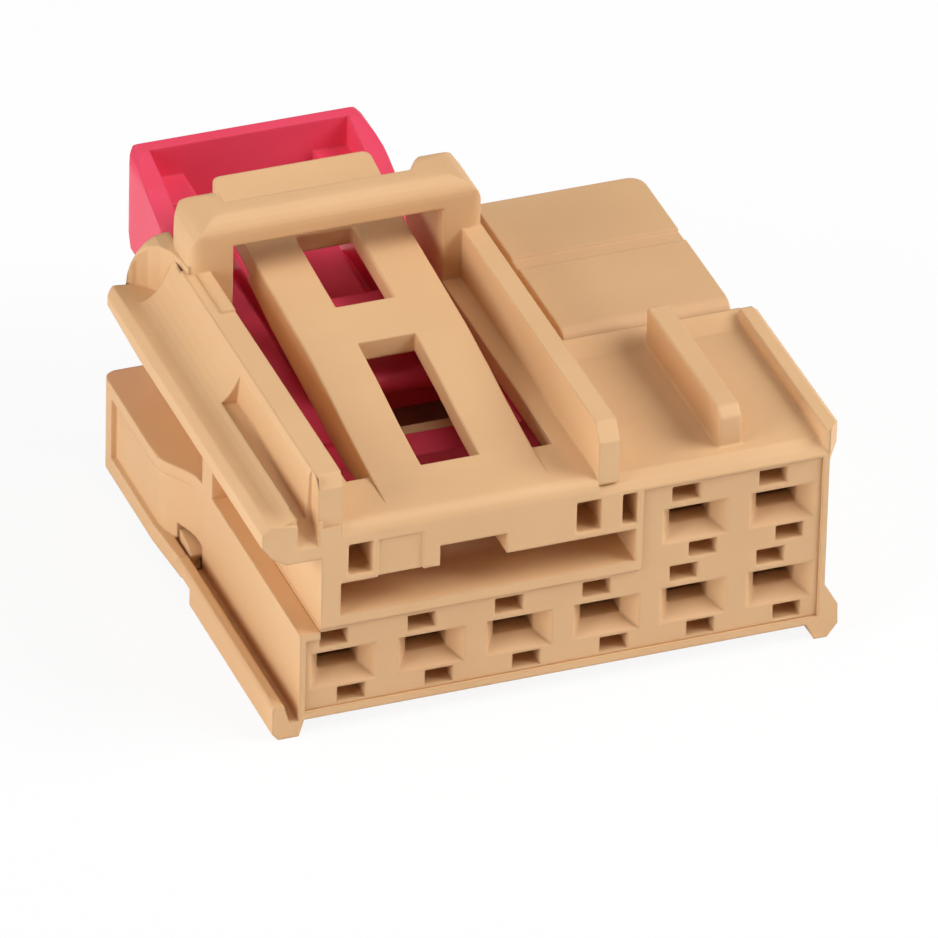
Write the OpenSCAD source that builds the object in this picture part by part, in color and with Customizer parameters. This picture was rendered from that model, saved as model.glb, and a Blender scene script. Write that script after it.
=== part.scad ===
// Wire to board connector housing: an outer shell with a flexing latch arm under a guard bridge,
// a terminal carrier with eight blade cavities, and a sliding lock with a pull loop.
// Millimetres. +X to the right, +Y to the wire side, +Z up, mating face towards -Y.

/* [Terminal cavities] */
// Centre distance of neighbouring cavities
pitch = 5.0; // [4.6:0.1:6]
// Height of the upper row above the lower row
row_pitch = 5.07; // [4.8:0.01:6]
// Cavities in the lower row
columns = 6; // [5:1:8]
// Cavities in the upper row, above the last ones of the lower row
upper_columns = 2; // [2:1:3]
// Width of a lead-in funnel at the mating face
funnel_w = 3.8; // [3:0.1:4.2]
// Height of a lead-in funnel at the mating face
funnel_h = 2.25; // [1.8:0.05:2.4]
// Depth of a lead-in funnel
funnel_d = 1.0; // [0.6:0.1:1.5]
// Width of the blade slot behind a funnel
slot_w = 2.3; // [1.5:0.1:2.8]
// Height of the blade slot behind a funnel
slot_h = 1.0; // [0.6:0.1:1.4]
// Length of the blade slot up to the terminal chamber
slot_len = 1.2; // [0.6:0.1:2]
// Width and height of a terminal chamber
chamber = 3.3; // [2.8:0.1:3.5]
// Width of a probe window
window_w = 1.6; // [1:0.1:1.8]
// Height of a probe window
window_h = 0.96; // [0.6:0.02:1.1]
// Depth of a probe window
window_d = 1.9; // [1:0.1:2.2]

/* [Shell] */
// Depth of the housing from the mating face to the wire side
depth = 28; // [27:0.5:34]
// Thickness of the outer side walls
side_wall = 0.35; // [0.3:0.05:0.6]
// Thickness of the bottom
floor_t = 0.45; // [0.4:0.05:0.8]
// Thickness of the web between the lower row and the latch slot
web_t = 0.66; // [0.5:0.02:1]
// Clear height of the latch slot in the mating face
latch_slot_h = 2.04; // [1.8:0.02:2.6]
// Height of the bar above the latch slot
bar_h = 3.6; // [3.2:0.1:4.2]
// Depth of the bar above the latch slot
bar_d = 4.1; // [3.4:0.1:4.6]
// Thickness of the deck plate beside the latch arm
deck_t = 1.2; // [0.9:0.1:1.5]
// Thickness of the deck over the upper row
cover_t = 0.83; // [0.6:0.01:1.2]
// Depth of the deck over the upper row
cover_d = 13.5; // [12.8:0.1:15]
// Depth of the deck beside the latch arm
deck_d = 25.6; // [25:0.1:26.5]
// Height of the two long walls above the deck
wall_h = 3.1; // [2:0.1:3.6]
// Thickness of the wall on the left of the arm
left_wall_t = 1.4; // [1:0.1:1.5]
// Thickness of the wall on the right of the arm
right_wall_t = 1.2; // [0.9:0.1:1.5]
// Depth of the guide groove along the left side
groove_d = 1.15; // [0.8:0.05:1.3]
// Height of the ledge under the guide groove
ledge_z = 6.4; // [6:0.1:6.5]

/* [Latch arm and bridge] */
// Width of the latch arm
arm_w = 9.2; // [8.4:0.1:9.6]
// Thickness of the latch arm
arm_t = 1.2; // [0.9:0.1:1.5]
// Gap on each side of the latch arm
arm_gap = 1.3; // [1:0.1:1.6]
// Width of the two windows in the latch arm
arm_window_w = 3.3; // [2.6:0.1:4]
// Distance of the guard bridge from the mating face
bridge_y = 21.3; // [20.5:0.1:22]
// Depth of the beam of the guard bridge
bridge_d = 1.9; // [1.4:0.1:2.3]
// Clear height of the guard bridge above the deck
bridge_clear = 4.6; // [4.2:0.1:5.4]
// Height of the beam of the guard bridge
beam_h = 1.7; // [1.2:0.1:2.2]
// Width of the left leg of the guard bridge
left_leg_w = 2.8; // [2.2:0.1:3]
// Width of the right leg of the guard bridge
right_leg_w = 2.4; // [2:0.1:2.8]
// Length of the press pad behind the bridge
pad_len = 8.3; // [7:0.1:8.4]

/* [Feet and rails] */
// Height of the foot rails under the bottom
foot_h = 1.0; // [0.7:0.1:1.4]
// Overhang of the left foot rail
left_foot_w = 1.5; // [1:0.1:1.8]
// Overhang of the right foot rail
right_foot_w = 0.85; // [0.6:0.05:1.2]
// Length of the left foot rail
left_foot_len = 13.3; // [10:0.1:13.8]
// Overhang of the rail along the top of the left side
left_rail_w = 2.25; // [1.8:0.05:2.4]
// Length of the rail along the top of the left side
left_rail_len = 25.5; // [24.5:0.1:26.5]
// Overhang of the swollen rear part of the left side
bulge_w = 1.45; // [1:0.05:1.7]

/* [Slide lock] */
// Width of the slide lock
lock_w = 14.0; // [13.2:0.1:14.2]
// Travel of the slide lock from pulled out to pushed home
lock_travel = 3.5; // [2.5:0.1:3.8]
// Wall thickness of the pull loop
loop_wall = 1.2; // [0.9:0.1:1.5]
// Distance of the outer end of the pull loop from the mating face
loop_y = 37.4; // [36:0.1:39]
// Height of the pull loop at its end
loop_h = 5.9; // [5:0.1:6.2]
// Running clearance of the slide lock
run_gap = 0.3; // [0.2:0.05:0.4]

/* [Hidden] */
$fn = 48;
eps = 0.01;
past = 1;

// Terminal carrier
end_land = 2.2;
cell_above = 2.72;
cell_below = 2.43;
upper_land = 3.1;
carrier_recess = 0.15;
plate_gap = 0.2;
plate_h = 1.53;
plate_len = 14.0;
plate_r = 0.9;
half = (columns - 1) * pitch / 2 + end_land;
body_half = half + side_wall;
bottom_z = foot_h;
row_z = bottom_z + floor_t + cell_below;
lower_top = row_z + cell_above;
upper_top = lower_top + row_pitch;
upper_x = column_x(columns - upper_columns) - upper_land;

// Heights of the shell
channel_z = lower_top + web_t;
bar_z = channel_z + latch_slot_h;
deck_z = bar_z + bar_h;
cover_z = upper_top + cover_t;
wall_top = deck_z + wall_h;
opening_z = deck_z + bridge_clear;
bridge_top = opening_z + beam_h;

// Places across the shell
latch_shift = 0.2;
latch_x = column_x((columns - upper_columns - 1) / 2) - latch_shift;
arm_half = arm_w / 2;
gap_half = arm_half + arm_gap;
groove_x = groove_d - body_half;
channel_play = 0.6;
channel_l = latch_x - lock_w / 2 - channel_play;
channel_wall = 0.4;
channel_r = upper_x - channel_wall;
left_wall_x = latch_x - gap_half - 3.0;
right_wall_x = latch_x + gap_half + 1.1;

// Bounding box of the whole connector, used to stand it on its origin
box_left = -body_half - left_rail_w;
box_right = body_half + right_foot_w;
origin_x = (box_left + box_right) / 2;
origin_y = loop_y / 2;

function column_x(i) = (i - (columns - 1) / 2) * pitch;
function arc(x, y, r, a0, a1) = [for (k = [0:6]) let(a = a0 + (a1 - a0) * k / 6) [x + r * cos(a), y + r * sin(a)]];

// Box given by its limits along the three axes
module box(x, y, z) {
  translate([x[0], y[0], z[0]]) cube([x[1] - x[0], y[1] - y[0], z[1] - z[0]]);
}

// Outline in (y, z) drawn out along X between two places
module side_profile(x, points) {
  translate([x[0], 0, 0]) rotate([90, 0, 90]) linear_extrude(x[1] - x[0]) polygon(points);
}

// Outline in (x, z) drawn out along Y between two places
module front_profile(y, points) {
  translate([0, y[1], 0]) rotate([90, 0, 0]) linear_extrude(y[1] - y[0]) polygon(points);
}

// Outline in (x, y) drawn out along Z between two heights
module plan_profile(z, points) {
  translate([0, 0, z[0]]) linear_extrude(z[1] - z[0]) polygon(points);
}

module place() {
  translate([-origin_x, -origin_y, 0]) children();
}

/* ---------- outer housing ---------- */

// Body of the shell up to the channel floor, with the ledge along its left side
module shell_base() {
  box([groove_x, body_half], [0, depth], [bottom_z, channel_z]);
  box([-body_half, groove_x + eps], [0, depth], [bottom_z, ledge_z]);
  side_bulge();
}

// Swollen rear part of the left side: a sunk face with a rim above, behind and below it
bulge_y = 16;
bulge_run = 3.5;
bulge_low = 0.3;
panel_rim = 0.8;
panel_sunk = 0.3;
flange_in = 0.25;
module side_bulge() {
  outer = -body_half - bulge_w;
  low = bottom_z - bulge_low;
  front = nub_y - plate_gap - eps;
  swell([low, ledge_z], bulge_w - panel_sunk);
  swell([ledge_z - panel_rim, ledge_z], bulge_w);
  intersection() {
    swell([low, ledge_z], bulge_w);
    box([outer, -body_half + eps], [depth - 2 * panel_rim, depth], [low, ledge_z]);
  }
  plan_profile([low, bottom_z + panel_rim],
    concat([[outer + flange_in, front], [outer, bulge_y + bulge_run]],
      arc(outer + panel_rim, depth - panel_rim, panel_rim, 180, 90),
      [[-body_half + eps, depth], [-body_half + eps, front]]));
}

// Body of the swollen part, entered by a double curve
module swell(z, out) {
  sweep_in = [for (k = [0:8]) [-body_half - out * (1 - cos(22.5 * k)) / 2, bulge_y + bulge_run * k / 8]];
  corner = arc(-body_half - out + panel_rim, depth - panel_rim, panel_rim, 180, 90);
  plan_profile(z, concat(sweep_in, corner, [[-body_half + eps, depth], [-body_half + eps, bulge_y]]));
}

// Left wall of the latch channel, the bar over the latch slot and the deck beside the arm
deck_r = 0.75;
module latch_channel() {
  box([groove_x, channel_l], [0, deck_d], [channel_z - eps, deck_z]);
  side_profile([groove_x, right_wall_x + eps],
    concat([[0, bar_z], [bar_d, bar_z], [bar_d, deck_z]], arc(deck_r, deck_z - deck_r, deck_r, 90, 180)));
  box([right_wall_x, upper_x], [0, bar_d], [bar_z, upper_top + eps]);
  box([channel_l - eps, latch_x - gap_half], [bar_d - eps, deck_d], [deck_z - deck_t, deck_z]);
  box([latch_x + gap_half, right_wall_x + eps], [bar_d - eps, deck_d], [deck_z - deck_t, deck_z]);
  box([channel_r, upper_x], [0, depth], [channel_z - eps, upper_top + eps]);
}

// Deck over the upper row: a rounded front lip, a sunk floor and a ramp up at its rear edge
lip_h = 0.15;
ramp_len = 1.35;
ramp_h = 0.5;
outer_wall_x = right_wall_x + right_wall_t;
module upper_deck() {
  side_profile([right_wall_x, body_half],
    [[0, upper_top], [0, upper_top + lip_h], [0.25, cover_z - 0.3], [0.9, cover_z],
     [cover_d - ramp_len, cover_z], [cover_d, cover_z + ramp_h], [cover_d, upper_top]]);
  box([right_wall_x, upper_x + plate_gap], [cover_d - eps, depth - plate_gap], [upper_top - deck_t, cover_z]);
  box([half, body_half], [0, depth], [channel_z - eps, upper_top + eps]);
}

// Long wall along the deck, chamfered at its front top edge
module long_wall(x, chamfer) {
  side_profile(x, [[0.2, deck_z - 0.5], [0.2, wall_top - chamfer], [0.2 + 0.7 * chamfer, wall_top],
    [bridge_y + leg_r, wall_top], [bridge_y + leg_r, deck_z - 0.5]]);
}

rib_t = 1.3;
rib_h = 2.3;
rib_from = 1.5;
strip_h = 0.15;
module deck_walls() {
  long_wall([left_wall_x, left_wall_x + left_wall_t], 0.7);
  long_wall([right_wall_x, outer_wall_x], 1.0);
  box([left_wall_x + left_wall_t / 2, left_wall_x + left_wall_t], [bridge_y - 4, bridge_y + leg_r],
    [wall_top - eps, wall_top + strip_h]);
  translate([column_x(columns - upper_columns) + 1.7, 0, 0])
    side_profile([0, rib_t], [[rib_from, cover_z - eps], [rib_from, cover_z + rib_h - 0.5],
      [rib_from + 0.5, cover_z + rib_h], [cover_d - 1, cover_z + rib_h], [cover_d - 1, cover_z - eps]]);
}

// Rail along the top of the left side, with an underside that rises to the rear
rail_z = 0.6;
rail_low = 1.8;
rail_rise = 1.6;
rail_r = 0.6;
rail_top = deck_z + rail_z;
rail_x = -body_half - left_rail_w;
valley_x = left_wall_x - 0.95;
module left_rail() {
  low = deck_z - rail_low;
  intersection() {
    front_profile([0, left_rail_len], [[rail_x + 1.4, low], [rail_x + 0.55, low + 0.55], [rail_x, low + 1.3],
      [rail_x, rail_top - 0.3], [rail_x + 0.45, rail_top + 0.1], [valley_x, rail_top - 0.1],
      [groove_x + eps, rail_top - 0.1], [groove_x + eps, low]]);
    side_profile([rail_x, groove_x + past], [[0, low], [0.4, low], [left_rail_len, low + rail_rise],
      [left_rail_len, rail_top + past], [0, rail_top + past]]);
    plan_profile([low, rail_top + past], concat([[rail_x, 0]],
      arc(rail_x + rail_r, left_rail_len - rail_r, rail_r, 180, 90),
      [[groove_x + eps, left_rail_len], [groove_x + eps, 0]]));
  }
}

// Hollow slope between the rail and the left wall
slope_end = 2;
slope_out = 0.8;
slope_power = 3;
module side_slope() {
  foot_x = rail_x + slope_out;
  run = left_wall_x - foot_x;
  rise = wall_top - rail_top;
  slope = [for (k = [0:8]) [foot_x + (run + eps) * k / 8, rail_top + rise * pow(k / 8, slope_power)]];
  front_profile([0.2, left_rail_len - slope_end],
    concat([[foot_x, rail_top - 0.2]], slope, [[left_wall_x + eps, rail_top - 0.2]]));
}

// Valley that deepens towards the front between the rail and the wall, and the pocket at its end
valley_len = 12.2;
valley_low = 0.1;
valley_tilt = 4.2;
valley_lean = 0.25;
pocket_low = 1.0;
pocket_len = 1.3;
// Sliver of wall left beside the tilted cut, so that no two faces nearly lie in one plane
valley_clear = 0.05;
module valley() {
  low = [valley_x - 0.2, left_wall_x - valley_clear];
  high = wall_h + past;
  translate([0, 0, deck_z - valley_low]) rotate([valley_tilt, 0, 0])
    front_profile([-past, valley_len], [[low[0], high], [low[0], 0], [low[1] - valley_lean, 0], [low[1], high]]);
  side_profile([low[0] - valley_clear, left_wall_x], [[-past, deck_z - pocket_low], [0, deck_z - pocket_low],
    [pocket_len, deck_z], [pocket_len, wall_top + past], [-past, wall_top + past]]);
}

// Pillar that ties the rail to the ledge
pillar_y = 14.1;
pillar_w = 1.6;
module pillar() {
  box([-body_half, groove_x + eps], [pillar_y, pillar_y + pillar_w], [ledge_z - eps, deck_z - eps]);
}

// Short rail along the top of the right side
module right_rail() {
  end = cover_d - 0.5;
  outer = body_half + right_foot_w;
  intersection() {
    front_profile([0, end], [[half, upper_top], [body_half, upper_top - 0.2], [outer, upper_top + 0.1],
      [outer, cover_z + 0.5], [outer - 0.35, cover_z + 0.8], [body_half - 0.2, cover_z + 0.8],
      [body_half - 0.45, cover_z - eps]]);
    plan_profile([upper_top - past, cover_z + past], [[half - eps, 0.3], [body_half, 0], [outer, 1.2],
      [outer, end], [half - eps, end]]);
  }
}

// Foot rails under both sides; behind the left foot only its ridge runs on, up to the snap nub
foot_in = 0.3;
ridge_z = 2.1 * foot_h;
ridge_w = 0.95;
module feet() {
  left = -body_half - left_foot_w;
  run = [0, nub_y - plate_gap];
  difference() {
    front_profile(run, [[left + 0.35, 0], [left, 0.4], [left, ridge_z - 0.2], [left + 0.15, ridge_z],
      [left + 0.65, ridge_z], [left + ridge_w, foot_h], [-body_half, foot_h], [-body_half, foot_h + 0.4],
      [-body_half + foot_in, foot_h + floor_t / 2], [-body_half + foot_in, foot_h], [-body_half, 0]]);
    front_profile([left_foot_len, run[1] + past], [[left - past, -past], [left - past, 1.4 * foot_h],
      [left, 1.4 * foot_h], [left + 0.4, 0.7 * foot_h], [-body_half + past, 0.7 * foot_h],
      [-body_half + past, -past]]);
  }
  right = body_half + right_foot_w;
  front_profile([0, depth], [[half - 0.15, 0], [right - 0.6, 0], [right, 0.8], [right - 0.05, 2.05],
    [body_half, 3.45], [half, 3.45], [half, foot_h], [half - 0.65, foot_h + eps]]);
}

// Low wall that carries the line of the right long wall on behind the bridge
rear_wall_h = 1.1;
hood_d = 1.7;
hood_h = 3.3;
module rear_wall() {
  hood_z = runner_top + loop_step + run_gap;
  hood_y = loop_y - loop_low - lock_travel - run_gap;
  hood_end = ear_end + hood_d;
  box([latch_x + lock_w / 2 + run_gap, outer_wall_x], [ear_end - ear_plan_r, depth - plate_gap],
    [cover_z - eps, deck_z + rear_wall_h]);
  side_profile([latch_x + gap_half, outer_wall_x], [[ear_end - ear_plan_r, hood_z], [hood_y, hood_z],
    [hood_end, hood_z + hood_end - hood_y], [hood_end, hood_z + hood_h], [ear_end - ear_plan_r, hood_z + hood_h]]);
}

// Guard bridge over the arm, with two ears that run back from its ends
left_bridge_r = 2.2;
right_bridge_r = 2.2;
roll_r = 1.1;
leg_r = 0.8;
ear_end = bridge_y + 4.1;
ear_r = 1.6;
ear_plan_r = 1.7;
left_leg_in = 0.3;
module bridge() {
  left = latch_x - gap_half - left_leg_w;
  right = latch_x + gap_half + right_leg_w;
  back = bridge_y + bridge_d;
  difference() {
    intersection() {
      front_profile([bridge_y, ear_end], concat([[left, deck_z - deck_t], [right, deck_z - deck_t]],
        arc(right - right_bridge_r, bridge_top - right_bridge_r, right_bridge_r, 0, 90),
        arc(left + left_bridge_r, bridge_top - left_bridge_r, left_bridge_r, 90, 180)));
      side_profile([left - past, right + past], concat([[bridge_y, deck_z - deck_t - past]],
        arc(bridge_y + roll_r, bridge_top - roll_r, roll_r, 180, 90),
        arc(ear_end - ear_r, bridge_top - ear_r, ear_r, 90, 0),
        [[ear_end, deck_z - deck_t - past]]));
      plan_profile([deck_z - deck_t - past, bridge_top + past], concat(
        arc(left + leg_r, bridge_y + leg_r, leg_r, 180, 270), arc(right - leg_r, bridge_y + leg_r, leg_r, 270, 360),
        arc(right - ear_plan_r, ear_end - ear_plan_r, ear_plan_r, 0, 90),
        arc(left + ear_plan_r, ear_end - ear_plan_r, ear_plan_r, 90, 180)));
    }
    box([latch_x - gap_half, latch_x + gap_half], [bridge_y - past, ear_end + past], [0, deck_z]);
    box([latch_x - gap_half - left_leg_in, latch_x + gap_half], [bridge_y - past, ear_end + past],
      [deck_z - eps, opening_z]);
    plan_profile([deck_z, bridge_top + past], [[latch_x - gap_half - 0.2, back], [latch_x + gap_half - 1.3, back],
      [latch_x + gap_half + 0.1, ear_end + eps], [latch_x - gap_half - 0.2, ear_end + eps]]);
  }
  cheek(left);
}

// Flared cheek between the left leg and the rear end of the rail
module cheek(leg_x) {
  reach = leg_x + body_half + 1.05;
  height = 3.1;
  base = deck_z + rail_z - 0.2;
  intersection() {
    front_profile([bridge_y, left_rail_len], concat([[leg_x + 0.3, base + height]],
      [for (k = [0:6]) [leg_x - reach * sin(15 * k), base + height * cos(15 * k)]], [[leg_x + 0.3, base]]));
    plan_profile([base - past, base + height + past], concat([[leg_x + 0.3, bridge_y + 0.3]],
      [for (k = [0:6]) [leg_x - reach * (1 - cos(15 * k)), bridge_y + 0.3 + 3.9 * sin(15 * k)]],
      [[leg_x + 0.3, left_rail_len]]));
  }
}

// Latch arm: a sprung plate with two side flanges, two windows and a press pad
arm_knots = [[1.2, 0], [3.2, 0.08], [5.2, 0.35], [7.8, 0.75], [10.75, 1.35], [14, 1.85], [19.7, 2.35], [23.3, 2.65]];
pad_rise = 3.8;
flange_h = 1.8;
flange_belly = 0.8;
flange_t = 0.8;
arm_end = bridge_y + pad_len;
window_gap = 3.4;
window_mid = 14.1;
pad_r = 0.5;
module latch_arm() {
  top = [for (p = arm_knots) [p[0], deck_z + p[1]]];
  pad = [arm_end, deck_z + pad_rise];
  outline = concat(top, [pad]);
  under = [for (k = [len(outline) - 1:-1:0]) outline[k] - [0, arm_t]];
  rim = [for (k = [2:len(top) - 1]) top[k] - [0, flange_h + flange_belly * sin(180 * (k - 2) / (len(top) - 3))]];
  rim_back = [for (k = [len(rim) - 1:-1:0]) rim[k]];
  difference() {
    intersection() {
      union() {
        side_profile([latch_x - arm_half, latch_x + arm_half], concat(outline, under));
        for (side = [-1, 1])
          translate([latch_x + side * (arm_half - flange_t / 2), 0, 0])
            side_profile([-flange_t / 2, flange_t / 2],
              concat([for (k = [1:len(top) - 1]) top[k] - [0, eps]], rim_back, [[bar_d - eps, deck_z - flange_h]]));
      }
      plan_profile([bar_z, bridge_top], concat([[latch_x - arm_half, 0], [latch_x + arm_half, 0]],
        arc(latch_x + arm_half - pad_r, arm_end - pad_r, pad_r, 0, 90),
        arc(latch_x - arm_half + pad_r, arm_end - pad_r, pad_r, 90, 180)));
    }
    box([latch_x - arm_window_w / 2, latch_x + arm_window_w / 2], [bar_d, window_mid], [bar_z, bridge_top]);
    box([latch_x - arm_window_w / 2, latch_x + arm_window_w / 2],
      [window_mid + window_gap, bridge_y + bridge_d + 0.8], [bar_z, bridge_top]);
  }
}

// Rib across the channel floor that stops the lock at the end of its way out
stop_y = 11.0;
stop_t = 0.9;
stop_h = 3.2;
stop_half = 3.2;
module stop_rib() {
  box([latch_x - stop_half, latch_x + stop_half], [stop_y, stop_y + stop_t], [channel_z - eps, channel_z + stop_h]);
}

// Mould recesses in the face of the bar: three deep windows, a shallow panel and a notch
bar_window_z = [0.4, 2.3];
bar_window_d = 2.6;
module bar_recesses() {
  z = [bar_z + bar_window_z[0], bar_z + bar_window_z[1]];
  for (x = [[-7.15, -5.8], [5.8, 7.2], [8.4, 9.25]])
    box([latch_x + x[0], latch_x + x[1]], [-past, bar_window_d], z);
  box([latch_x - 5.5, latch_x - 2.95], [-past, 0.12], [bar_z - past, z[1]]);
  box([latch_x - 2.0, latch_x + 1.8], [-past, 2.4], [bar_z - past, bar_z + 1.25]);
}

// Notch in the left side that lets the snap nub of the carrier through
nub_y = 15.75;
nub_len = 1.9;
nub_low = -0.25;
nub_h = 1.45;
nub_out = 0.9;
notch_rise = 0.3;
module nub_notch() {
  y = [nub_y - plate_gap, nub_y + nub_len + plate_gap];
  z = [bottom_z + nub_low - plate_gap, bottom_z + nub_low + nub_h + plate_gap];
  side_profile([-half - nub_out - plate_gap, -half],
    [[y[0], z[0]], [y[0], z[1]], [y[1], z[1] + notch_rise], [y[1], z[0]]]);
}

// Snap nub of the carrier, with a sloping front top edge
module snap_nub() {
  top = bottom_z + nub_low + nub_h;
  side_profile([-half - nub_out, -half + eps], [[nub_y, bottom_z + nub_low], [nub_y, top - nub_h / 4],
    [nub_y + nub_len / 4, top], [nub_y + nub_len, top + plate_gap], [nub_y + nub_len, bottom_z + nub_low]]);
}

module carrier_pocket() {
  lower = [bottom_z + floor_t, lower_top];
  difference() {
    box([-half, half], [-past, depth + past], lower);
    box([-half - past, groove_x], [-2 * past, depth + 2 * past], [ledge_z - floor_t, lower_top + past]);
  }
  box([upper_x, half], [-past, depth + past], [lower_top - eps, upper_top]);
}

module outer_housing() {
  color("burlywood")
    place() {
      difference() {
        union() {
          shell_base();
          latch_channel();
          upper_deck();
          deck_walls();
          left_rail();
          side_slope();
          pillar();
          right_rail();
          feet();
          rear_wall();
          bridge();
          latch_arm();
          stop_rib();
        }
        carrier_pocket();
        valley();
        bar_recesses();
        nub_notch();
      }
    }
}

/* ---------- terminal carrier ---------- */

// One cavity: a lead-in funnel, a blade slot, a terminal chamber and two probe windows
window_up = [-0.6, 1.96];
window_down = [0.45, -1.75];
chamber_y = carrier_recess + funnel_d + slot_len;
module cavity() {
  y = carrier_recess;
  intersection() {
    plan_profile([-funnel_h, funnel_h], [[-funnel_w / 2, y], [-slot_w / 2, y + funnel_d], [slot_w / 2, y + funnel_d],
      [funnel_w / 2, y], [funnel_w / 2, y - past], [-funnel_w / 2, y - past]]);
    side_profile([-funnel_w, funnel_w], [[y, -funnel_h / 2], [y + funnel_d, -slot_h / 2], [y + funnel_d, slot_h / 2],
      [y, funnel_h / 2], [y - past, funnel_h / 2], [y - past, -funnel_h / 2]]);
  }
  box([-slot_w / 2, slot_w / 2], [y, chamber_y + eps], [-slot_h / 2, slot_h / 2]);
  box([-chamber / 2, chamber / 2], [chamber_y, depth + past], [-chamber / 2, chamber / 2]);
  for (window = [window_up, window_down])
    translate([window[0], 0, window[1]])
      box([-window_w / 2, window_w / 2], [y - past, y + window_d], [-window_h / 2, window_h / 2]);
}

// Raised plate at the rear, with a rounded front edge and a low step across it
step_y = 7.0;
step_w = 1.1;
step_h = 0.15;
module carrier_plate() {
  plate_y = cover_d + plate_gap;
  plate_z = upper_top + plate_h;
  plate_end = plate_y + plate_len;
  step = [plate_y + step_y, plate_y + step_y + step_w];
  left = upper_x + plate_gap * 2.5;
  intersection() {
    side_profile([left, half], concat([[plate_y, upper_top - eps]],
      arc(plate_y + plate_r, plate_z - plate_r, plate_r, 180, 90),
      [[step[0], plate_z], [step[0], plate_z - step_h], [step[1], plate_z - step_h], [step[1], plate_z],
       [plate_end, plate_z], [plate_end, upper_top - eps]]));
    plan_profile([upper_top - past, plate_z + past], concat([[left, plate_y], [half, plate_y]],
      arc(half - plate_r, plate_end - plate_r, plate_r, 0, 90), [[left, plate_end]]));
  }
}

module contact_carrier() {
  color("tan")
    place()
      difference() {
        union() {
          difference() {
            box([-half, half], [carrier_recess, depth], [bottom_z + floor_t, lower_top]);
            box([-half - past, groove_x], [0, depth + past], [ledge_z - floor_t, lower_top + past]);
          }
          box([upper_x, half], [carrier_recess, depth], [lower_top - eps, upper_top]);
          snap_nub();
          carrier_plate();
        }
        for (i = [0:columns - 1]) translate([column_x(i), 0, row_z]) cavity();
        for (i = [columns - upper_columns:columns - 1]) translate([column_x(i), 0, row_z + row_pitch]) cavity();
      }
}

/* ---------- slide lock ---------- */

lock_z = channel_z + run_gap;
lock_half = lock_w / 2;
lock_inner = lock_half - loop_wall;
loop_drop = 0.3;
loop_z = bar_z - loop_drop;
runner_top = deck_z - deck_t - run_gap;
cross_d = 2.15;
cross_h = 2.9;
loop_r = 1.6;
loop_top_r = 1.0;
loop_low = 7.9;
loop_step = 0.4;
inner_rail_w = 2.0;
inner_rail_low = 0.6;
grip_len = 4.0;
tongue_half = 2.9;
tongue_y = 14.1;
tip_r = 0.72;
web_y = stop_y + stop_t + lock_travel + run_gap;
web_len = 16.9;
web_end = tongue_y + web_len;

// Outline of the pull loop from the side: low runners in front, rising to the grip at the rear
module loop_side(x) {
  top = loop_z + loop_h;
  side_profile(x, [[stop_y - cross_d, loop_z], [loop_y - 1.6, loop_z], [loop_y, loop_z + 1.6],
    [loop_y, top - 0.5], [loop_y - 0.5, top], [loop_y - 1.4, top - 0.1], [loop_y - 4, top - 0.8],
    [loop_y - 6.4, top - 1.7], [loop_y - loop_low, runner_top + loop_step], [loop_y - loop_low - 0.7, runner_top],
    [stop_y - cross_d, runner_top]]);
}

// Pull loop: two sides and the rear wall, rounded at the corners seen from above
module pull_loop() {
  left = latch_x - lock_half;
  right = latch_x + lock_half;
  top = loop_z + loop_h;
  intersection() {
    union() {
      loop_side([left, left + loop_wall]);
      loop_side([right - loop_wall, right]);
      intersection() {
        loop_side([left, right]);
        box([left, right], [loop_y - loop_wall, loop_y], [loop_z, top]);
      }
    }
    plan_profile([0, bridge_top], concat([[left, 0], [right, 0]], arc(right - loop_r, loop_y - loop_r, loop_r, 0, 90),
      arc(left + loop_r, loop_y - loop_r, loop_r, 90, 180)));
    front_profile([0, loop_y + past], concat([[left, loop_z], [right, loop_z]],
      arc(right - loop_top_r, top - loop_top_r, loop_top_r, 0, 90),
      arc(left + loop_top_r, top - loop_top_r, loop_top_r, 90, 180)));
  }
}

// Tongue that blocks the arm: a round nose over the stop rib, a step under the arm and a web behind
module lock_tongue() {
  low = channel_z + stop_h + run_gap;
  step = deck_z + 0.1;
  behind = low - 0.3;
  side_profile([latch_x - tongue_half, latch_x + tongue_half],
    concat(arc(tongue_y + tip_r, low + tip_r, tip_r, 270, 100),
      [[tongue_y + 3.6, low + 2 * tip_r + 0.2], [tongue_y + 6.5, step], [tongue_y + 7.4, step],
       [tongue_y + 7.6, behind], [web_end, behind + 0.8], [web_end, loop_z], [web_y, loop_z], [web_y, low]]));
}

// Rail along the inside of each runner, with a raised grip block against the rear wall
module inner_rail(side) {
  end = loop_y - loop_wall + eps;
  translate([latch_x + side * (lock_inner - inner_rail_w / 2), 0, 0])
    side_profile([-inner_rail_w / 2 - eps, inner_rail_w / 2 + eps],
      [[stop_y - eps, loop_z], [end, loop_z], [end, deck_z], [loop_y - grip_len, deck_z],
       [loop_y - grip_len - 1, runner_top - inner_rail_low / 2], [stop_y - eps, runner_top - inner_rail_low]]);
}

module slide_lock() {
  color("crimson")
    place() {
      pull_loop();
      box([latch_x - lock_inner - eps, latch_x + lock_inner + eps], [stop_y - cross_d, stop_y],
        [lock_z, lock_z + cross_h]);
      for (side = [-1, 1]) inner_rail(side);
      box([latch_x - lock_inner, latch_x + lock_inner], [web_y, web_end], [loop_z, lock_z + 2]);
      lock_tongue();
    }
}

outer_housing();
contact_carrier();
slide_lock();
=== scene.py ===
"""Wire to board connector housing: moulded tan shell and terminal carrier with a pink slide lock.

Lengths are written in millimetres in the part's own frame (x from the body's middle, y from the
mating face, z from the surface it stands on) and turned into metres where a mesh or a light is made.
"""

import bmesh
import bpy
import numpy as np
from mathutils import Matrix


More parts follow.
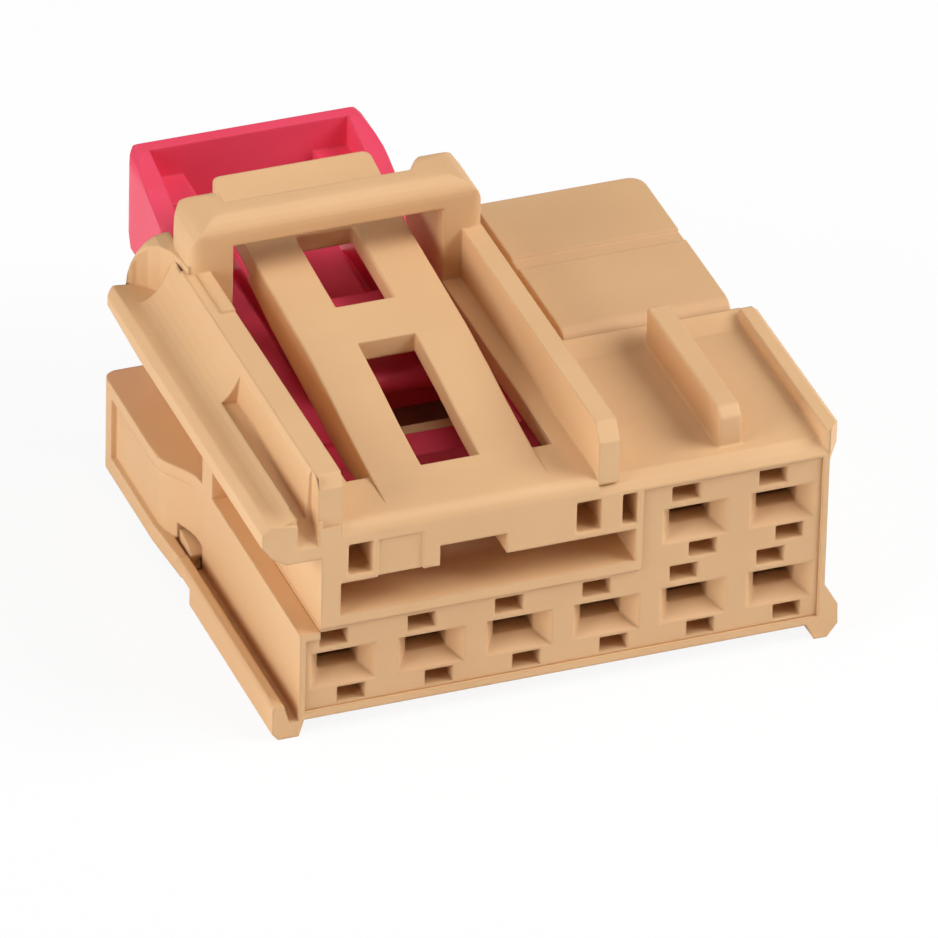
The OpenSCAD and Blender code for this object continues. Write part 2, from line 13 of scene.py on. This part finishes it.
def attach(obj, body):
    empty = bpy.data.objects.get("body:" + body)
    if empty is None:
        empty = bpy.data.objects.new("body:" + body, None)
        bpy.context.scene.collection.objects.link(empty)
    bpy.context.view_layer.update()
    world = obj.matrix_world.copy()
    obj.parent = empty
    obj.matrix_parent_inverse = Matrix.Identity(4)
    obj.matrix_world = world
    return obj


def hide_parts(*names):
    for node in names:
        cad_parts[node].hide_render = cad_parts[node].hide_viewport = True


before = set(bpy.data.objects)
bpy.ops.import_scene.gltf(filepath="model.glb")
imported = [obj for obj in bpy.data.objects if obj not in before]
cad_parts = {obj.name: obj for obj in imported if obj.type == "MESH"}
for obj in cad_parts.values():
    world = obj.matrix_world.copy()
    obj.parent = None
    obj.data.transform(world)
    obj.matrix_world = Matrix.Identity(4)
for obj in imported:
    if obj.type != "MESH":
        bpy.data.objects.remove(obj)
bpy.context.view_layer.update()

MM = 0.001
SHIFT = np.array([0.7, -18.7, 0.0])      # from the part's own frame to the stored one, in mm


def to_scene(point_mm):
    """A point of the part's own frame, in metres of the stored frame."""
    return (np.asarray(point_mm, float) + SHIFT) * MM


# ---------------------------------------------------------------- moulded pieces

# How far the creases of each piece are rounded, and in how many steps
EDGE_MM = {"outer_housing": 0.16, "contact_carrier": 0.10, "slide_lock": 0.22}
EDGE_STEPS = 3

# Corners nearer than this are merged, faces that turn less than FLAT are joined, and an edge that
# turns more than CREASE is rounded
MERGE_MM = 0.02
FLAT = np.radians(0.6)
CREASE = np.radians(25)

# Room that a crease may take: of a gap between two creases, of the length of a flat seam, and
# beside the narrowest crease that it meets
SHARE = 0.44
SEAM_SHARE = 0.85
EVEN = 1.5
EVENING_ROUNDS = 3
LEAST_WEIGHT = 0.004

# Repair of folded faces: rounds, how many widths each looks round a folded place, how much
# narrower it makes the creases there, and the round from which they are left sharp
REPAIRS = 12
REACH = 1.6
NARROWER = 0.5
SHARP_FROM = 5

# Smallest folded area that counts, in square metres, and the number of corners from which a
# folded face counts only where its outline crosses itself
FOLD = 1e-13
MANY_CORNERS = 9

# Guards against dividing by nothing, and how far inside its edges a crossing has to lie
TINY = 1e-18
LEAST_SLANT = 1e-3
INSIDE = 1e-6


def moulded_copy(node):
    """A copy of a CAD node, merged into clean flat faces, whose creases are rounded as in a mould."""
    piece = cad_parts[node].copy()
    piece.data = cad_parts[node].data.copy()
    piece.name = node + "_moulding"
    piece.parent = None
    for key in list(piece.keys()):
        del piece[key]
    bpy.context.scene.collection.objects.link(piece)
    width = EDGE_MM[node] * MM
    mesh = bmesh.new()
    mesh.from_mesh(piece.data)
    bmesh.ops.remove_doubles(mesh, verts=mesh.verts, dist=MERGE_MM * MM)
    bmesh.ops.dissolve_limit(mesh, angle_limit=FLAT, verts=mesh.verts, edges=mesh.edges)
    weight_creases(mesh, width)
    mesh.to_mesh(piece.data)
    mesh.free()
    piece.data.materials.clear()
    rounded = piece.modifiers.new("rounded edges", "BEVEL")
    rounded.limit_method = "WEIGHT"
    rounded.width = width
    rounded.segments = EDGE_STEPS
    rounded.use_clamp_overlap = False
    rounded.loop_slide = False
    rounded.miter_outer = "MITER_SHARP"
    rounded.harden_normals = True
    narrow_torn_creases(piece, width)
    return piece


def crossings(outline):
    """Places where the edges of a flat closed outline cross each other, as indices of its edges."""
    start, step = outline, np.roll(outline, -1, axis=0) - outline
    gap = start[None] - start[:, None]
    turn = step[:, None, 0] * step[None, :, 1] - step[:, None, 1] * step[None, :, 0]
    turn = np.where(np.abs(turn) < TINY, np.inf, turn)
    t = (gap[..., 0] * step[None, :, 1] - gap[..., 1] * step[None, :, 0]) / turn
    u = (gap[..., 0] * step[:, None, 1] - gap[..., 1] * step[:, None, 0]) / turn
    inside = (t > INSIDE) & (t < 1 - INSIDE) & (u > INSIDE) & (u < 1 - INSIDE)
    return [(i, t[i, j]) for i, j in zip(*np.nonzero(np.triu(inside)))]


def torn_places(piece):
    """Points where the rounding has folded a face over itself."""
    seen = piece.evaluated_get(bpy.context.evaluated_depsgraph_get())
    mesh = seen.to_mesh()
    points = np.array([vert.co[:] for vert in mesh.vertices])
    mesh.calc_loop_triangles()
    folded = set()
    for triangle in mesh.loop_triangles:
        a, b, c = points[list(triangle.vertices)]
        across = np.cross(b - a, c - a)
        if across @ np.array(mesh.polygons[triangle.polygon_index].normal) < -FOLD:
            folded.add(triangle.polygon_index)
    places = []
    for face in (mesh.polygons[k] for k in sorted(folded)):
        corners = points[list(face.vertices)]
        flat = [axis for axis in range(3) if axis != int(np.argmax(np.abs(face.normal)))]
        found = crossings(corners[:, flat])
        for i, t in found:
            places.append(corners[i] + t * (corners[(i + 1) % len(corners)] - corners[i]))
        if not found and len(corners) < MANY_CORNERS:
            places.extend(corners)
    seen.to_mesh_clear()
    return np.array(places)


def narrow_torn_creases(piece, width):
    """The creases beside a folded place are made narrower, and at last left sharp, until none is folded."""
    layer = piece.data.attributes["bevel_weight_edge"].data
    points = np.array([vert.co[:] for vert in piece.data.vertices])
    ends = np.array([points[list(edge.vertices)] for edge in piece.data.edges])
    weights = np.array([item.value for item in layer])
    for count in range(REPAIRS):
        places = torn_places(piece)
        if not len(places):
            return
        near = np.zeros(len(ends), bool)
        for place in places:
            near |= gap_to_edges(place, place, ends) < REACH * width
        weights[near] *= NARROWER if count < SHARP_FROM else 0
        layer.foreach_set("value", weights)
        piece.data.update()


def is_crease(edge):
    return len(edge.link_faces) == 2 and edge.calc_face_angle(0) > CREASE


def flat_regions(mesh):
    """The faces of a mesh in groups that lie in one plane, each with the edges in it."""
    seen, regions = set(), {}
    for first in mesh.faces:
        if first in seen:
            continue
        group, edges, queue = [], set(), [first]
        seen.add(first)
        while queue:
            face = queue.pop()
            group.append(face)
            edges.update(face.edges)
            for edge in face.edges:
                for other in edge.link_faces:
                    if other not in seen and other.normal.angle(first.normal, 1.0) < FLAT:
                        seen.add(other)
                        queue.append(other)
        for face in group:
            regions[face] = edges
    return regions


def gap_to_edges(a, b, ends):
    """Smallest distance from the segment a-b to each of the segments whose end points are given."""
    def to_segments(points, start, finish):
        along = finish - start
        t = np.clip(((points - start) * along).sum(-1) / np.maximum((along ** 2).sum(-1), TINY), 0, 1)
        return np.linalg.norm(points - start - along * t[..., None], axis=-1)
    c, d = ends[:, 0], ends[:, 1]
    near = [to_segments(a[None], c, d), to_segments(b[None], c, d), to_segments(c, a[None], b[None]),
            to_segments(d, a[None], b[None])]
    return np.min(near, axis=0)


def weight_creases(mesh, width):
    """Each crease is rounded by the full width, or by less where its faces leave it no room."""
    layer = mesh.edges.layers.float.new("bevel_weight_edge")
    creases = [edge for edge in mesh.edges if is_crease(edge)]
    creased = set(creases)
    regions = flat_regions(mesh)
    ends = {edge: np.array([vert.co[:] for vert in edge.verts]) for edge in mesh.edges}
    room = {edge: width for edge in creases}
    for edge in creases:
        a, b = ends[edge]
        for face in edge.link_faces:
            others = [other for other in regions[face]
                      if other in creased and not set(other.verts) & set(edge.verts)]
            if others:
                gaps = gap_to_edges(a, b, np.array([ends[other] for other in others]))
                room[edge] = min(room[edge], SHARE * float(gaps.min()))
            for other in face.edges:
                shared = [vert for vert in other.verts if vert in edge.verts]
                if other is edge or not shared:
                    continue
                one = edge.other_vert(shared[0]).co - shared[0].co
                two = other.other_vert(shared[0]).co - shared[0].co
                angle = one.angle(two, np.pi / 2)
                if other in creased:
                    reach = max(1 / max(np.tan(angle / 2), LEAST_SLANT), LEAST_SLANT)
                    room[edge] = min(room[edge], SHARE * min(one.length, two.length) / reach)
                else:
                    seam = two.length * max(np.sin(angle), LEAST_SLANT)
                    room[edge] = min(room[edge], SEAM_SHARE * seam)
    for _ in range(EVENING_ROUNDS):
        for vert in mesh.verts:
            here = [edge for edge in vert.link_edges if edge in creased]
            if len(here) > 1:
                least = min(room[edge] for edge in here)
                for edge in here:
                    room[edge] = min(room[edge], EVEN * least)
    for edge in creases:
        edge[layer] = float(np.clip(room[edge] / width, LEAST_WEIGHT, 1.0))


# ---------------------------------------------------------------- materials

# Scale and detail of the flow clouds, where on them the two tints stand, and the same for the grain
CLOUD_SCALE = 110
CLOUD_DETAIL = 3
TINT_AT = (0.3, 0.7)
GRAIN_SCALE = 5200
GRAIN_DETAIL = 2

# How much the gloss varies with the grain, and the depth of the grain
SATIN = 0.06
GRAIN_MM = 0.02

# Reach of the softening of the light along every crease, and its samples
SOFT_MM = 0.2
SOFT_SAMPLES = 6


def moulded_plastic(name, colour, deep, rough, specular, grain):
    """Moulded plastic: faint flow clouds in its colour, a fine satin grain and softened creases."""
    material = bpy.data.materials.new(name)
    material.use_nodes = True
    nodes, links = material.node_tree.nodes, material.node_tree.links
    shader = nodes["Principled BSDF"]
    place = nodes.new("ShaderNodeTexCoord")
    clouds = nodes.new("ShaderNodeTexNoise")
    clouds.inputs["Scale"].default_value = CLOUD_SCALE
    clouds.inputs["Detail"].default_value = CLOUD_DETAIL
    links.new(place.outputs["Object"], clouds.inputs["Vector"])
    tint = nodes.new("ShaderNodeValToRGB")
    for stop, position, shade in zip(tint.color_ramp.elements, TINT_AT, (deep, colour)):
        stop.position = position
        stop.color = (*shade, 1)
    links.new(clouds.outputs["Fac"], tint.inputs["Fac"])
    links.new(tint.outputs["Color"], shader.inputs["Base Color"])
    speckle = nodes.new("ShaderNodeTexNoise")
    speckle.inputs["Scale"].default_value = GRAIN_SCALE
    speckle.inputs["Detail"].default_value = GRAIN_DETAIL
    links.new(place.outputs["Object"], speckle.inputs["Vector"])
    gloss = nodes.new("ShaderNodeMapRange")
    gloss.inputs["To Min"].default_value = rough - SATIN
    gloss.inputs["To Max"].default_value = rough + SATIN
    links.new(speckle.outputs["Fac"], gloss.inputs["Value"])
    links.new(gloss.outputs["Result"], shader.inputs["Roughness"])
    bump = nodes.new("ShaderNodeBump")
    bump.inputs["Strength"].default_value = grain
    bump.inputs["Distance"].default_value = GRAIN_MM * MM
    links.new(speckle.outputs["Fac"], bump.inputs["Height"])
    soft = nodes.new("ShaderNodeBevel")
    soft.samples = SOFT_SAMPLES
    soft.inputs["Radius"].default_value = SOFT_MM * MM
    links.new(soft.outputs["Normal"], bump.inputs["Normal"])
    links.new(bump.outputs["Normal"], shader.inputs["Normal"])
    shader.inputs["Specular IOR Level"].default_value = specular
    return material


def srgb(red, green, blue):
    """A colour written as it looks on a screen (0 to 255), as linear light."""
    screen = np.array([red, green, blue]) / 255
    return tuple(np.where(screen <= 0.04045, screen / 12.92, ((screen + 0.055) / 1.055) ** 2.4))


TAN = moulded_plastic("tan shell plastic", srgb(226, 183, 136), srgb(220, 176, 129),
                      rough=0.5, specular=0.35, grain=0.25)
CARRIER_TAN = moulded_plastic("tan carrier plastic", srgb(222, 180, 134), srgb(216, 172, 127),
                              rough=0.52, specular=0.35, grain=0.25)
PINK = moulded_plastic("pink lock plastic", srgb(236, 76, 104), srgb(229, 67, 94),
                       rough=0.42, specular=0.35, grain=0.12)
FINISH = {"outer_housing": (TAN, "shell_plastic"), "contact_carrier": (CARRIER_TAN, "carrier_plastic"),
          "slide_lock": (PINK, "lock_plastic")}
BODY = {"outer_housing": "housing", "contact_carrier": "housing", "slide_lock": "lock"}

for node, (material, slot) in FINISH.items():
    moulding = moulded_copy(node)
    moulding.data.materials.append(material)
    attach(moulding, BODY[node])
    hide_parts(node)


# ---------------------------------------------------------------- floor, light and camera

# How much of the paper's look is plain white to the camera, and how white it is to the lamps
PAPER_GLOW = 0.9
PAPER_WHITE = 0.9

# Lamps: side of each, and the point that all of them face, in the part's own frame
LAMP_SIZE = 0.28
MIDDLE = (0, 15, 8)


def floor_and_backdrop():
    """A floor that curves up into a backdrop far behind the connector."""
    span, front, depth, bend, height = 4.0, -4.0, 1.6, 0.5, 2.4
    bend_rows = 17
    turn = np.linspace(0, np.pi / 2, bend_rows)
    y = np.concatenate([[front], depth + bend * np.sin(turn), [depth + bend]])
    z = np.concatenate([[0.0], bend * (1 - np.cos(turn)), [height]])
    rows = np.array([[(x, a, b) for x in (-span, span)] for a, b in zip(y, z)]).reshape(-1, 3)
    faces = [(2 * k, 2 * k + 1, 2 * k + 3, 2 * k + 2) for k in range(len(y) - 1)]
    mesh = bpy.data.meshes.new("floor and backdrop")
    mesh.from_pydata(rows.tolist(), [], faces)
    for face in mesh.polygons:
        face.use_smooth = True
    floor = bpy.data.objects.new("floor_and_backdrop", mesh)
    bpy.context.scene.collection.objects.link(floor)
    mesh.materials.append(white_paper())


def white_paper():
    """Paper that the camera sees as white, with the shadow on it kept faint; it lights the piece softly."""
    material = bpy.data.materials.new("white paper")
    material.use_nodes = True
    nodes, links = material.node_tree.nodes, material.node_tree.links
    paper = nodes["Principled BSDF"]
    paper.inputs["Base Color"].default_value = (PAPER_WHITE, PAPER_WHITE, PAPER_WHITE, 1)
    paper.inputs["Roughness"].default_value = 0.9
    paper.inputs["Specular IOR Level"].default_value = 0.0
    glow = nodes.new("ShaderNodeEmission")
    glow.inputs["Strength"].default_value = 1.0
    mix = nodes.new("ShaderNodeMixShader")
    path = nodes.new("ShaderNodeLightPath")
    seen = nodes.new("ShaderNodeMath")
    seen.operation = "MULTIPLY"
    seen.inputs[1].default_value = PAPER_GLOW
    links.new(path.outputs["Is Camera Ray"], seen.inputs[0])
    links.new(seen.outputs["Value"], mix.inputs["Fac"])
    links.new(paper.outputs["BSDF"], mix.inputs[1])
    links.new(glow.outputs["Emission"], mix.inputs[2])
    links.new(mix.outputs["Shader"], nodes["Material Output"].inputs["Surface"])
    return material


def soft_box(name, place_mm, watts):
    """A square area lamp at a place, turned towards the middle of the connector."""
    lamp = bpy.data.lights.new(name, "AREA")
    lamp.size = LAMP_SIZE
    lamp.energy = watts
    obj = bpy.data.objects.new(name, lamp)
    bpy.context.scene.collection.objects.link(obj)
    place = to_scene(place_mm)
    back = place - to_scene(MIDDLE)
    back /= np.linalg.norm(back)
    side = np.cross([0, 0, 1.0], back)
    side /= np.linalg.norm(side)
    up = np.cross(back, side)
    turn = np.eye(4)
    turn[:3, 0], turn[:3, 1], turn[:3, 2], turn[:3, 3] = side, up, back, place
    obj.matrix_world = Matrix(turn.tolist())


def camera_at(place_mm, forward, right, lens):
    """A camera given by its place, its looking direction and its rightward direction."""
    forward = np.array(forward) / np.linalg.norm(forward)
    right = np.array(right) - np.dot(right, forward) * forward
    right /= np.linalg.norm(right)
    turn = np.eye(4)
    turn[:3, 0], turn[:3, 1], turn[:3, 2] = right, np.cross(right, forward), -forward
    turn[:3, 3] = to_scene(place_mm)
    camera = bpy.data.cameras.new("camera")
    camera.sensor_width, camera.lens = 36, lens
    camera.clip_start, camera.clip_end = 0.05, 20
    obj = bpy.data.objects.new("camera", camera)
    bpy.context.scene.collection.objects.link(obj)
    obj.matrix_world = Matrix(turn.tolist())
    bpy.context.scene.camera = obj


def plain_daylight(strength):
    """An even white sky round the whole scene."""
    world = bpy.data.worlds.new("white sky")
    world.use_nodes = True
    world.node_tree.nodes["Background"].inputs["Color"].default_value = (1, 1, 1, 1)
    world.node_tree.nodes["Background"].inputs["Strength"].default_value = strength
    bpy.context.scene.world = world


floor_and_backdrop()
plain_daylight(0.11)
soft_box("left light", (-380, -60, 140), 1.33)
soft_box("right light", (300, -120, 280), 1.70)
soft_box("top light", (-40, 10, 420), 0.30)
soft_box("rear light", (-60, 340, 260), 0.10)
camera_at(place_mm=(-232.39, -584.96, 421.26), forward=(0.30334, 0.78271, -0.54346),
          right=(0.93725, -0.34795, 0.02201), lens=540.7)
bpy.context.scene.view_settings.view_transform = "Standard"
